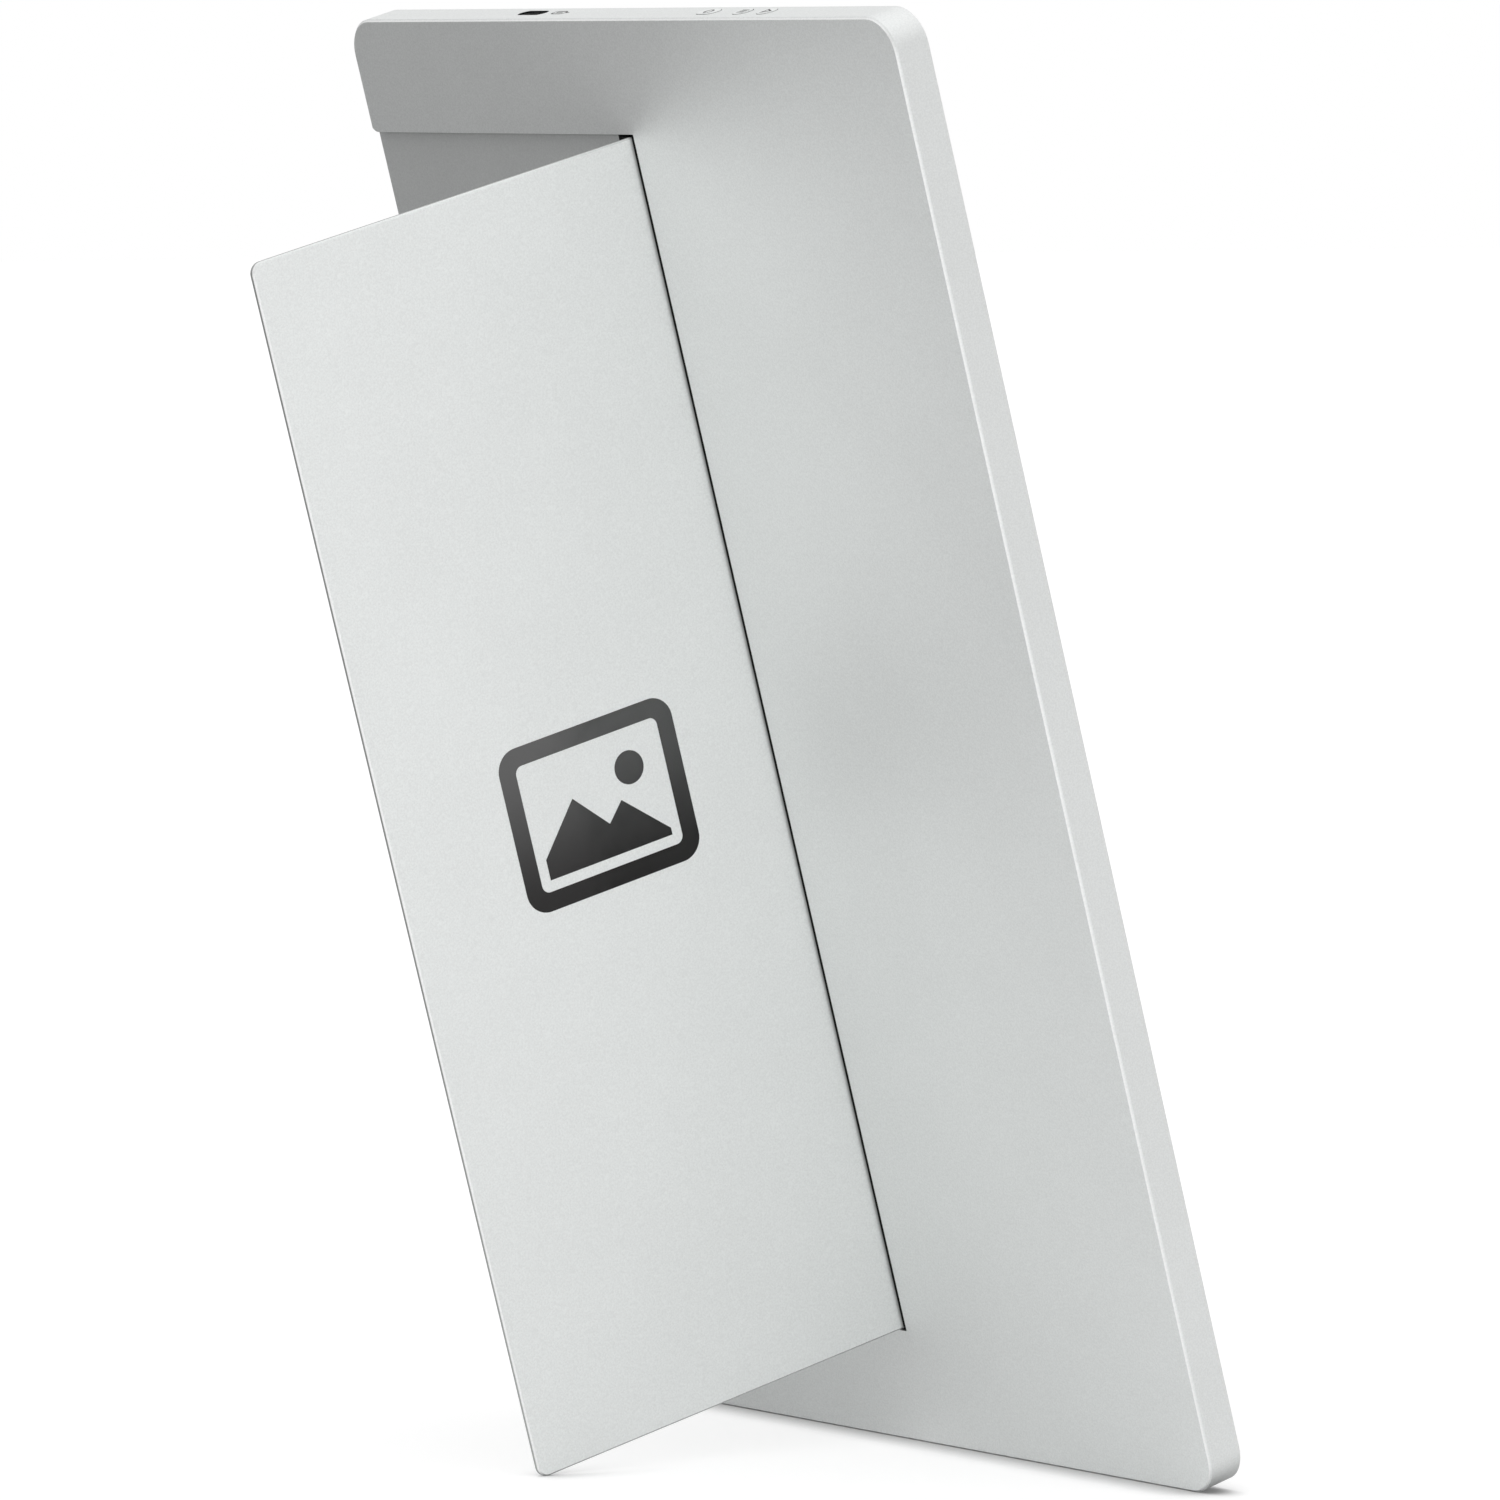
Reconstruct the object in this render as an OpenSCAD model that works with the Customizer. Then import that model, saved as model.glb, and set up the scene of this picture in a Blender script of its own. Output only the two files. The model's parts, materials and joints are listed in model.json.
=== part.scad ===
// Slim digital photo frame that leans on a door-type stand hinged down the middle of its back.
//
// The parts are drawn lying flat, screen down: x runs across the back from its left edge, y runs up
// the frame from its bottom end, and z is 0 on the back face and negative towards the screen.
// standing() then turns each part into the leaning pose, and on_stand() first opens the stand.

/* [Frame body] */
// Width across the frame
body_w = 194.2; // [190:0.1:200]
// Length up the frame
body_h = 319; // [319:1:325]
// Thickness from the back face to the front rim
body_t = 8.6; // [8.6:0.1:9.4]
// Radius of the four corners
corner_r = 8; // [7:0.5:9]
// Chamfer round the back face
back_chamfer = 0.5; // [0.3:0.05:0.6]
// Chamfer round the front rim
front_chamfer = 0.3; // [0.2:0.05:0.4]
// Thickness of the side walls
side_wall = 1.6; // [1.5:0.05:1.7]
// Thickness of the back wall
back_wall = 1.2; // [1.1:0.05:1.2]

/* [Stand] */
// How far the stand is open, in degrees
open_angle = 86.1; // [70:0.1:90]
// Thickness of the stand plate
flap_t = 1.1; // [1:0.05:1.15]
// Distance from the bottom end of the frame to the stand plate
flap_bottom = 26.66; // [25:0.01:28]
// Distance from the top end of the frame to the stand plate
flap_top = 25.76; // [25:0.01:28]
// Radius of the two free corners of the stand plate
flap_corner_r = 2.5; // [2:0.1:3]
// Chamfer round the outer face of the stand plate
flap_chamfer = 0.35; // [0.2:0.05:0.4]
// Depth of the fold that stiffens the hinge side of the stand plate
fold_depth = 4.1; // [3:0.1:4.1]
// Gap between the stand plate and the ends of its recess
flap_gap = 0.58; // [0.4:0.01:0.7]
// Depth of the recess that holds the closed stand
recess_depth = 1.8; // [1.75:0.05:1.9]

/* [Top end] */
// Centre of the USB-C inlet, from the left edge
inlet_x = 63.75; // [62:0.05:66]
// Centre of the power button, from the left edge
power_x = 126.9; // [126:0.1:127.5]
// Centre of the menu button, from the left edge
menu_x = 138.8; // [138.4:0.1:139.2]
// Centre of the select button, from the left edge
select_x = 147.1; // [146.8:0.1:147.6]
// How far the buttons travel
button_travel = 0.3; // [0.2:0.05:0.35]

/* [Display] */
// Length of the 13.3 inch picture area
picture_h = 293.8; // [290:0.1:294]
// Width of the 13.3 inch picture area
picture_w = 165.2; // [160:0.1:165.5]

/* [Hidden] */
$fn = 64;
over = 1; // how far a cutting tool passes a face
touch = 0.05; // clearance between inner parts that lie on each other
fit_gap = 0.15; // clearance of a part that drops into a pocket

// Hinge line: the stand turns about a line just under its own outer face
axis_depth = 0.5;
axis_x = 95.68;
cover_edge_x = axis_x + axis_depth + 0.7;
flap_x = 0.05;
flap_y0 = flap_bottom;
flap_y1 = body_h - flap_top;
recess_y0 = flap_y0 - flap_gap;
recess_y1 = flap_y1 + flap_gap;
recess_corner_r = 2.5;
recess_floor = 1; // thickness of the wall under the recess
groove_x = 89;
groove_depth = 4.4;
groove_wall = 0.4;
groove_side = 0.6;

// Leaning pose: the angle at which the stand's bottom corner and the frame's bottom edge both rest
flap_reach = axis_x - flap_x - flap_corner_r;
corner_out = flap_reach * sin(open_angle) + (axis_depth - flap_chamfer) * cos(open_angle) - axis_depth;
corner_up = flap_y0 + flap_corner_r;
rest_out = corner_out + back_chamfer;
lean = acos(flap_corner_r / norm([corner_up, rest_out])) - atan2(rest_out, corner_up);
drop = back_chamfer * sin(lean);
front_y = -body_t * cos(lean);
rear_y = (flap_y1 - flap_corner_r) * sin(lean) + corner_out * cos(lean) + flap_corner_r;
middle_y = (front_y + rear_y) / 2;

// Heights of the layers, from the screen side to the back
glass_z = [-body_t + 0.1, -body_t + 0.9];
tape_z = [-body_t + 0.9, -body_t + 1.1];
frame_z = [-body_t + 1.1, -body_t + 3.4];
cell_z = [-body_t + 0.95, -body_t + 1.95];
prism_z = [-body_t + 2.05, -body_t + 2.25];
diffuser_z = [-body_t + 2.25, -body_t + 2.45];
guide_z = [-body_t + 2.45, -body_t + 3.05];
reflector_z = [-body_t + 3.05, -body_t + 3.2];
chassis_z = [-body_t + 1.95, -body_t + 3.5];
driver_z = [-body_t + 3.55, -body_t + 4.15];
film_z = [-body_t + 3.62, -body_t + 3.72];
board_z = [-body_t + 3.85, -body_t + 4.65];
skin_z = -back_wall;

// Display module, centred on the picture but for a wider strip on the driver side
module_y0 = (body_h - picture_h) / 2 - 3.3;
module_y1 = (body_h + picture_h) / 2 + 3.3;
module_x0 = (body_w - picture_w) / 2 - 8.5;
module_x1 = (body_w + picture_w) / 2 + 3.3;
cell_inset = 0.3;
driver_strip = 3.5; // width of the cell's edge that the flexes are bonded to
window_gap = 0.3;
window = [
    module_x0 - window_gap, module_y0 - window_gap,
    module_x1 + window_gap, module_y1 + window_gap
];
chassis_wall = 0.5;
chassis_base = 0.3;
guide_x0 = module_x0 + 6.8;
sheet = [guide_x0, module_y0 + 0.8, module_x1 - 0.7, module_y1 - 0.8];
driver_board = [8, 60, 24, 262];
driver_chip_y = [98, 152, 176];
driver_chip = [6, 9, 0.9]; // width, length and height
flex_y = [72, 125, 195, 248];
flex_half = 12;
flex_t = 0.12;
flex_pad_x = 10.5;

// Screws that hold the mid frame to the shell
left_screw_x = 3.9;
right_screw_x = body_w - 6.4;
end_screw_y = 5.2;
side_screw_y = [20, 90, 160, 230, 299];
bottom_screw_x = [50, 97, 144];
top_screw_x = [30, 98, 168];
frame_screw_spots = [
    for (y = side_screw_y) [left_screw_x, y],
    for (y = side_screw_y) [right_screw_x, y],
    for (x = bottom_screw_x) [x, end_screw_y],
    for (x = top_screw_x) [x, body_h - end_screw_y]
];
frame_boss_r = 2;
small_shank_r = 0.75;
frame_head_r = 1.45;
frame_head_h = 0.45;
frame_hole_depth = 2.2;

// Main board: the end under the inlet, the arm above the stand's recess, and the wide part beside it
board_boxes = [[46, 297.5, 84, 316.8], [46, 297.5, 176, 306], [108, 215, 176, 306]];
board_screw_spots = [[50, 301.5], [80, 301.5], [112, 218], [172, 218], [172, 302]];
board_boss_r = 2.2;
screw_shank_r = 0.9;
screw_hole_r = 0.95;
board_head_r = 1.6;
board_head_h = 0.3;
chip_z = board_z[1];
connector_h = 1;
can_box = [120, 236, 154, 264];
can_h = 2;
can_wall = 0.2;
display_cable_y = [222, 234];
button_cable_x = [130, 135];
cable_t = 0.15;

// Chips and coils on the main board: centre, size and height
chips = [
    [130, 250, 13, 13, 1.1], [146, 243, 8, 11, 0.9], [146, 257, 8, 11, 0.9],
    [165, 240, 6, 6, 0.9], [165, 252, 5, 5, 1.8], [165, 262, 5, 5, 1.8],
    [128, 226, 8, 6, 1], [150, 224, 10, 5, 1], [128, 280, 9, 9, 1], [150, 284, 12, 8, 1.2],
    [76, 310, 5, 4, 1], [92, 302, 6, 4, 1]
];

// Top end
port_z = -4.9;
port_w = 8.94;
port_h = 3.16;
port_wall = 0.3;
port_depth = 7.3;
port_recess = 0.4;
port_slot_gap = 0.14;
tongue = [6.7, 0.7];
button_z = -4.75;
button_r = 2.18;
power_half = 1.1; // half the straight length of the power button
power_r = 1.98;
button_gap = 0.14;
button_proud = 0.12;
switch_y = [body_h - 6.7, body_h - 4];
switch_half = 1.75;
switch_z_half = 1;
plunger_r = 0.45;
plunger_y = [switch_y[1] - 1, switch_y[1] + button_travel + touch];
button_board_t = 0.6;

// Hinges: each rocker slides in a curved track that is centred on the hinge line
hinge_y = [62, 257];
track_in = 2.15;
track_out = 3.55;
track_gap = 0.05;
rocker_end = 335;
base_half = 10;
slot_half = 8.1;
rocker_half = 8;
base_z0 = -4.8;
base_x0 = 91.2;
base_x1 = 100.6;
ear_y = [11, 17];
ear_middle = (ear_y[0] + ear_y[1]) / 2;
ear_x = [98.2, 106.2];
ear_z1 = -3.7;
hinge_screw_x = [100.4, 104];
hinge_head_r = 1.75;
band_t = 0.35;
track_from = 175;
rocker_from = 180;
band_angles = [229, 311];
countersink = 0.6; // depth of the hinge screws' conical heads
leaf_x = [71, axis_x - 2.1];
leaf_t = 0.45;
leaf_half = 13;
rivet_x = [75, 84];
rivet_y = 9;
rivet_r = 0.75;
rivet_head_r = 1.5;
rivet_in = 0.5; // how far a rivet reaches into the stand plate
inlay_t = 0.4;
inlay_proud = 0.05;
inlay_gap = 0.03; // clearance round the inlay's curved walls
emblem_x = 51.2;
emblem_y = 160;
emblem_w = 44;
emblem_h = 36;
emblem_line = 4;

// ---- Poses -------------------------------------------------------------------------------------

module standing() {
    translate([0, -middle_y, -drop])
        rotate([-lean, 0, 0])
            rotate([0, 0, 180])
                rotate([90, 0, 0])
                    translate([-body_w / 2, 0, 0])
                        children();
}

module on_stand() {
    standing()
        translate([axis_x, 0, -axis_depth])
            rotate([0, open_angle, 0])
                translate([-axis_x, 0, axis_depth])
                    children();
}

// ---- Shapes that repeat ------------------------------------------------------------------------

// Box from one corner to the other
module block(low, high) {
    translate(low) cube(high - low);
}

// Flat plate over the box [x0, y0, x1, y1], between two heights
module plate(box, z) {
    block([box[0], box[1], z[0]], [box[2], box[3], z[1]]);
}

module rounded_rect(box, r) {
    translate([box[0] + r, box[1]]) square([box[2] - box[0] - 2 * r, box[3] - box[1]]);
    translate([box[0], box[1] + r]) square([box[2] - box[0], box[3] - box[1] - 2 * r]);
    for (x = [box[0] + r, box[2] - r], y = [box[1] + r, box[3] - r])
        translate([x, y]) circle(r);
}

module rounded_plate(box, r, z) {
    translate([0, 0, z[0]]) linear_extrude(z[1] - z[0]) rounded_rect(box, r);
}

// Round post or hole along z
module post(spot, r, z) {
    translate([spot[0], spot[1], z[0]]) cylinder(r = r, h = z[1] - z[0]);
}

// Extrudes a shape drawn in x and z along y, between two places
module along_y(y0, y1) {
    translate([0, y1, 0]) rotate([90, 0, 0]) linear_extrude(y1 - y0) children();
}

// Obround drawn in x and z, from its half straight length and its radius
module obround(half, r) {
    if (half > 0) translate([-half, -r]) square([2 * half, 2 * r]);
    for (side = half > 0 ? [-1, 1] : [0]) translate([side * half, 0]) circle(r);
}

// Part of a ring about the hinge line, drawn in x and z, from one angle to another below it
module ring_part(r_in, r_out, from, to) {
    reach = 2 * r_out;
    steps = 4;
    intersection() {
        difference() {
            circle(r_out);
            circle(r_in);
        }
        polygon(concat([[0, 0]], [
            for (i = [0 : steps]) let (a = from + (to - from) * i / steps)
                [reach * cos(a), reach * sin(a)]
        ]));
    }
}

module round_hinge_line() {
    translate([axis_x, -axis_depth]) children();
}

// Slab with round corners and a chamfer on both faces
module chamfered_slab() {
    w = body_w;
    h = body_h;
    t = body_t;
    b = back_chamfer;
    f = front_chamfer;
    r = corner_r;
    translate([r, 0, 0]) rotate([90, 0, 90]) linear_extrude(w - 2 * r)
        polygon([[f, -t], [h - f, -t], [h, f - t], [h, -b], [h - b, 0], [b, 0], [0, -b], [0, f - t]]);
    along_y(r, h - r)
        polygon([[f, -t], [w - f, -t], [w, f - t], [w, -b], [w - b, 0], [b, 0], [0, -b], [0, f - t]]);
    for (x = [r, w - r], y = [r, h - r])
        translate([x, y, 0]) rotate_extrude()
            polygon([[0, -t], [r - f, -t], [r, f - t], [r, -b], [r - b, 0], [0, 0]]);
}

// ---- Shell -------------------------------------------------------------------------------------

// Outline of the recess, with the two rounded corners where it runs out of the left edge
module recess_outline() {
    r = recess_corner_r;
    translate([-over, recess_y0]) square([cover_edge_x + over, recess_y1 - recess_y0]);
    difference() {
        translate([-over, recess_y0 - r]) square([r + over, recess_y1 - recess_y0 + 2 * r]);
        for (y = [recess_y0 - r, recess_y1 + r]) translate([r, y]) circle(r);
    }
}

module shell_bosses() {
    for (spot = frame_screw_spots) post(spot, frame_boss_r, [frame_z[1], skin_z]);
    for (spot = board_screw_spots) post(spot, board_boss_r, [board_z[1], skin_z]);
    for (y = hinge_y, side = [-1, 1])
        let (near = y + side * ear_y[0], far = y + side * ear_y[1])
            block([ear_x[0], min(near, far), ear_z1], [ear_x[1], max(near, far), skin_z]);
}

module shell_screw_holes() {
    depth = frame_hole_depth;
    board_depth = 1.9;
    for (spot = frame_screw_spots)
        post(spot, small_shank_r + touch, [frame_z[1] - over, frame_z[1] + depth]);
    for (spot = board_screw_spots)
        post(spot, screw_hole_r, [board_z[1] - over, board_z[1] + board_depth]);
    for (y = hinge_y, side = [-1, 1], x = hinge_screw_x)
        post([x, y + side * ear_middle], screw_hole_r, [ear_z1 - over, ear_z1 + depth]);
}

module top_openings() {
    translate([inlet_x, 0, port_z]) along_y(body_h - side_wall - over, body_h + over)
        obround((port_w - port_h) / 2, port_h / 2 + port_slot_gap);
    for (x = [menu_x, select_x])
        translate([x, 0, button_z]) along_y(body_h - side_wall - over, body_h + over)
            circle(button_r + button_gap);
    translate([power_x, 0, button_z]) along_y(body_h - side_wall - over, body_h + over)
        obround(power_half, power_r + button_gap);
}

module rear_shell() {
    w = side_wall;
    tub_x0 = groove_x - groove_side;
    tub_x1 = cover_edge_x + groove_side;
    color("silver") standing() difference() {
        union() {
            difference() {
                chamfered_slab();
                rounded_plate([w, w, body_w - w, body_h - w], corner_r - w, [-body_t - over, skin_z]);
            }
            block([w / 2, recess_y0 - w, -recess_depth - recess_floor],
                [tub_x1, recess_y1 + w, skin_z / 2]);
            block([tub_x0, recess_y0 - groove_side, -groove_depth - groove_wall],
                [tub_x1, recess_y1 + groove_side, skin_z / 2]);
            shell_bosses();
        }
        translate([0, 0, -recess_depth]) linear_extrude(recess_depth + over) recess_outline();
        block([groove_x, recess_y0, -groove_depth], [cover_edge_x, recess_y1, over]);
        for (y = hinge_y)
            block([base_x0 - fit_gap, y - base_half - fit_gap, base_z0 - over],
                [tub_x1 + over, y + base_half + fit_gap, skin_z]);
        top_openings();
        shell_screw_holes();
    }
}

// ---- Front: glass, tape, mid frame and display module ------------------------------------------

module cover_glass() {
    inset = side_wall + fit_gap;
    color("black") standing()
        rounded_plate([inset, inset, body_w - inset, body_h - inset], corner_r - inset, glass_z);
}

module glass_tape() {
    inset = 2.3;
    color("dimgray") standing() difference() {
        rounded_plate([inset, inset, body_w - inset, body_h - inset], corner_r - inset, tape_z);
        plate(window, [tape_z[0] - over, tape_z[1] + over]);
    }
}

module mid_frame() {
    inset = side_wall + fit_gap + touch;
    button_y = switch_y[1] + 0.1;
    inlet_room = 4.8;
    board_room = 8;
    head_room = 5;
    color("darkslategray") standing() difference() {
        rounded_plate([inset, inset, body_w - inset, body_h - inset], corner_r - inset, frame_z);
        plate(window, [frame_z[0] - over, frame_z[1] + over]);
        for (spot = frame_screw_spots) {
            post(spot, small_shank_r + 2 * touch, [frame_z[0] - over, frame_z[1] + over]);
            post(spot, frame_head_r + fit_gap, [frame_z[0] - over, frame_z[0] + frame_head_h + touch]);
        }
        // room for the USB-C inlet, the button board and the button heads
        y0 = window[3] - over;
        z1 = frame_z[1] + over;
        block([inlet_x - inlet_room, y0, port_z - 1.75], [inlet_x + inlet_room, body_h, z1]);
        block([power_x - board_room, y0, button_z - 1.6], [select_x + board_room, button_y, z1]);
        block([power_x - head_room, button_y - touch, button_z - 2.3], [select_x + head_room, body_h, z1]);
    }
}

module frame_screws() {
    hex_r = 0.7;
    hex_depth = 0.25;
    z0 = frame_z[0] + touch;
    color("gray") standing() for (spot = frame_screw_spots) {
        post(spot, small_shank_r, [z0 + frame_head_h - touch, frame_z[1] + 2]);
        difference() {
            post(spot, frame_head_r, [z0, z0 + frame_head_h]);
            post(spot, hex_r, [z0 - over, z0 + hex_depth], $fn = 6);
        }
    }
}

module lcd_cell() {
    i = cell_inset;
    color("midnightblue") standing()
        plate([module_x0 + driver_strip, module_y0 + i, module_x1 - i, module_y1 - i], cell_z);
}

module prism_sheet() {
    color("lavender") standing() plate(sheet, prism_z);
}

module diffuser_sheet() {
    color("white") standing() plate(sheet, diffuser_z);
}

module light_guide() {
    color("lightcyan") standing() plate(sheet, guide_z);
}

module reflector_sheet() {
    color("whitesmoke") standing() plate([guide_x0 + 0.1, sheet[1], sheet[2], sheet[3]], reflector_z);
}

module led_bar() {
    pitch = 10;
    led_w = 4;
    count = floor((sheet[3] - sheet[1]) / pitch);
    strip_x0 = module_x0 + 0.7;
    color("gold") standing() {
        plate([strip_x0, sheet[1], guide_x0 - 0.1, sheet[3]], reflector_z);
        for (i = [0 : count - 1])
            translate([0, sheet[1] + pitch * (i + 0.5), 0])
                plate([guide_x0 - 1.4, -led_w / 2, guide_x0 - 0.2, led_w / 2],
                    [guide_z[0], reflector_z[0] + touch]);
    }
}

module lcd_chassis() {
    w = chassis_wall;
    color("lightsteelblue") standing() difference() {
        plate([module_x0, module_y0, module_x1, module_y1], chassis_z);
        plate([module_x0 + w, module_y0 + w, module_x1 - w, module_y1 - w],
            [chassis_z[0] - over, chassis_z[1] - chassis_base]);
    }
}

module lcd_driver_board() {
    c = driver_chip;
    x = driver_board[0] + 4;
    low = driver_z[1] - touch;
    color("seagreen") standing() {
        plate(driver_board, driver_z);
        for (y = driver_chip_y) plate([x, y, x + c[0], y + c[1]], [low, driver_z[1] + c[2]]);
        plate([x + 5, display_cable_y[0] - 1, x + 9, display_cable_y[1] + 1], [low, driver_z[1] + c[2]]);
    }
}

module driver_flexes() {
    t = flex_t;
    x0 = window[0] + 0.04;
    x1 = module_x0 + driver_strip;
    z0 = cell_z[1] - 0.4;
    z1 = driver_z[1];
    color("orange") standing() for (y = flex_y)
        along_y(y - flex_half, y + flex_half)
            polygon([
                [x1, z0], [x0, z0], [x0, z1 + t], [flex_pad_x, z1 + t],
                [flex_pad_x, z1], [x0 + t, z1], [x0 + t, z0 + t], [x1, z0 + t]
            ]);
}

// Ribbon of constant thickness that follows a few points drawn in x and z
module ribbon(points, t) {
    polygon(concat(points, [for (i = [len(points) - 1 : -1 : 0]) points[i] + [0, t]]));
}

module display_cable() {
    low = driver_z[0];
    high = board_z[1] + 0.1;
    color("white") standing() along_y(display_cable_y[0], display_cable_y[1])
        ribbon([[21, driver_z[1] + 0.1], [25, driver_z[1] + 0.1], [28, low], [103.5, low],
            [106.6, high], [110, high]], cable_t);
}

// ---- Main board --------------------------------------------------------------------------------

// Outline of the main board, drawn inset all round
module board_outline(inset) {
    for (b = board_boxes)
        translate([b[0] + inset, b[1] + inset])
            square([b[2] - b[0] - 2 * inset, b[3] - b[1] - 2 * inset]);
}

module main_board() {
    hole_r = 1.1;
    slot_half_w = 4.6;
    slot_y0 = body_h - port_recess - port_depth - fit_gap;
    color("darkgreen") standing() difference() {
        translate([0, 0, board_z[0]]) linear_extrude(board_z[1] - board_z[0]) board_outline(0);
        for (spot = board_screw_spots) post(spot, hole_r, [board_z[0] - over, board_z[1] + over]);
        plate([inlet_x - slot_half_w, slot_y0, inlet_x + slot_half_w, body_h],
            [board_z[0] - over, board_z[1] + over]);
    }
}

module insulation_film() {
    color("darkorange") standing() difference() {
        translate([0, 0, film_z[0]]) linear_extrude(film_z[1] - film_z[0])
            intersection() {
                board_outline(0.5);
                square([body_w, module_y1 - 1]);
            }
        for (spot = board_screw_spots)
            post(spot, board_head_r + 0.4, [film_z[0] - over, film_z[1] + over]);
    }
}

module board_chips() {
    color("black") standing() for (c = chips)
        translate([c[0] - c[2] / 2, c[1] - c[3] / 2, chip_z]) cube([c[2], c[3], c[4]]);
}

module board_connectors() {
    z = [chip_z, chip_z + connector_h];
    x = button_cable_x;
    y = display_cable_y;
    color("beige") standing() {
        plate([110, y[0] - 1, 115, y[1] + 1], z);
        plate([x[0] - 1, 298, x[1] + 1, 302], z);
        plate([x[0] - 0.5, body_h - 7.4, x[1] + 0.5, body_h - 5.4], [button_z - 1, button_z - 0.1]);
    }
}

module shield_can() {
    w = can_wall;
    c = can_box;
    color("gainsboro") standing() difference() {
        plate(c, [chip_z, chip_z + can_h]);
        plate([c[0] + w, c[1] + w, c[2] - w, c[3] - w], [chip_z - over, chip_z + can_h - w]);
    }
}

module thermal_pad() {
    c = can_box;
    margin = 4;
    color("slategray") standing()
        plate([c[0] + margin, c[1] + margin, c[2] - margin, c[3] - margin], [chip_z + can_h, skin_z]);
}

module board_screws() {
    color("gray") standing() for (spot = board_screw_spots) {
        post(spot, screw_shank_r, [board_z[0] - touch, board_z[1] + 1.7]);
        post(spot, board_head_r, [board_z[0] - board_head_h, board_z[0]]);
    }
}

// ---- Top end: USB-C inlet and buttons ----------------------------------------------------------

module usb_c_shell() {
    half = (port_w - port_h) / 2;
    r = port_h / 2;
    y1 = body_h - port_recess;
    tab_middle = 4.95;
    tab_half = 1.1;
    color("gainsboro") standing() {
        translate([inlet_x, 0, port_z]) along_y(y1 - port_depth, y1) difference() {
            obround(half, r);
            obround(half, r - port_wall);
        }
        for (side = [-1, 1])
            translate([inlet_x + side * tab_middle, 0, 0])
                block([-tab_half, y1 - 5, chip_z], [tab_half, y1 - 3, chip_z + 0.25]);
    }
}

module usb_c_tongue() {
    half = (port_w - port_h) / 2;
    inner = port_h / 2 - port_wall - 0.02;
    y1 = body_h - port_recess;
    y0 = y1 - port_depth;
    plug_depth = 2.2;
    color("black") standing() translate([inlet_x, 0, port_z]) {
        along_y(y0, y0 + plug_depth) obround(half, inner);
        along_y(y0 + plug_depth - 0.2, y1 - 0.6)
            translate([-tongue[0] / 2, -tongue[1] / 2]) square(tongue);
    }
}

module button_board() {
    color("darkgreen") standing()
        plate([power_x - 7.5, module_y1 + 0.2, select_x + 7.5, switch_y[1]],
            [button_z - switch_z_half - button_board_t, button_z - switch_z_half]);
}

module tact_switches() {
    color("dimgray") standing() for (x = [power_x, menu_x, select_x]) difference() {
        block([x - switch_half, switch_y[0], button_z - switch_z_half],
            [x + switch_half, switch_y[1], button_z + switch_z_half]);
        translate([x, 0, button_z])
            along_y(plunger_y[0] - button_travel - 0.1, switch_y[1] + over) circle(plunger_r + 0.1);
    }
}

module button_cable() {
    y1 = body_h - 7.4;
    z1 = button_z - 0.9;
    z2 = chip_z + 0.1;
    color("white") standing() translate([button_cable_x[0], 0, 0])
        rotate([90, 0, 90]) linear_extrude(button_cable_x[1] - button_cable_x[0])
            ribbon([[302, z2], [307, z2], [308.8, z2 - 0.5], [310.6, z1], [y1, z1]], cable_t);
}

module button_body(x, half, r) {
    // the flange lies inside the wall, and the stem behind it meets the plunger
    flange_y = [body_h - side_wall - 0.9, body_h - side_wall - 0.1];
    flange_half = half + r + 0.7;
    flange_z_half = 2.15;
    stem_r = 0.8;
    translate([x, 0, button_z]) {
        along_y(flange_y[0] + 0.4, body_h + button_proud) obround(half, r);
        block([-flange_half, flange_y[0], -flange_z_half], [flange_half, flange_y[1], flange_z_half]);
        along_y(plunger_y[1], flange_y[0] + 0.2) circle(stem_r);
    }
}

module power_button() {
    color("silver") standing() button_body(power_x, power_half, power_r);
}

module menu_button() {
    color("silver") standing() button_body(menu_x, 0, button_r);
}

module select_button() {
    color("silver") standing() button_body(select_x, 0, button_r);
}

module plunger(x) {
    translate([x, 0, button_z]) along_y(plunger_y[0], plunger_y[1]) circle(plunger_r);
}

module power_plunger() {
    color("ivory") standing() plunger(power_x);
}

module menu_plunger() {
    color("ivory") standing() plunger(menu_x);
}

module select_plunger() {
    color("ivory") standing() plunger(select_x);
}

// ---- Hinges ------------------------------------------------------------------------------------

module hinge_base(y) {
    hole_r = 1.05;
    step_x = axis_x - 1.9;
    leaf_room_z = -flap_t - leaf_t - fit_gap;
    track = [track_in - track_gap, track_out + track_gap];
    band = [band_angles[0] - 1, band_angles[1] + 1];
    difference() {
        union() {
            along_y(y - base_half, y + base_half)
                polygon([
                    [base_x0, base_z0], [base_x1, base_z0], [base_x1, skin_z - touch],
                    [cover_edge_x + 0.1, skin_z - touch], [cover_edge_x + 0.1, -flap_t - 0.3],
                    [step_x, -flap_t - 0.3], [step_x, leaf_room_z], [base_x0, leaf_room_z]
                ]);
            block([ear_x[0], y - ear_y[1] - 1, base_z0], [ear_x[1], y + ear_y[1] + 1, ear_z1]);
        }
        along_y(y - slot_half, y + slot_half) round_hinge_line() {
            ring_part(track[0], track[1], track_from, rocker_end + 3);
            ring_part(track[1] - touch, track[1] + band_t + 0.02, band[0], band[1]);
        }
        for (side = [-1, 1], x = hinge_screw_x) {
            post([x, y + side * ear_middle], hole_r, [base_z0 - over, ear_z1 + over]);
            translate([x, y + side * ear_middle, base_z0])
                cylinder(r1 = hinge_head_r + 0.1, r2 = hole_r, h = countersink);
        }
    }
}

module hinge_base_upper() {
    color("dimgray") standing() hinge_base(hinge_y[1]);
}

module hinge_base_lower() {
    color("dimgray") standing() hinge_base(hinge_y[0]);
}

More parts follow.
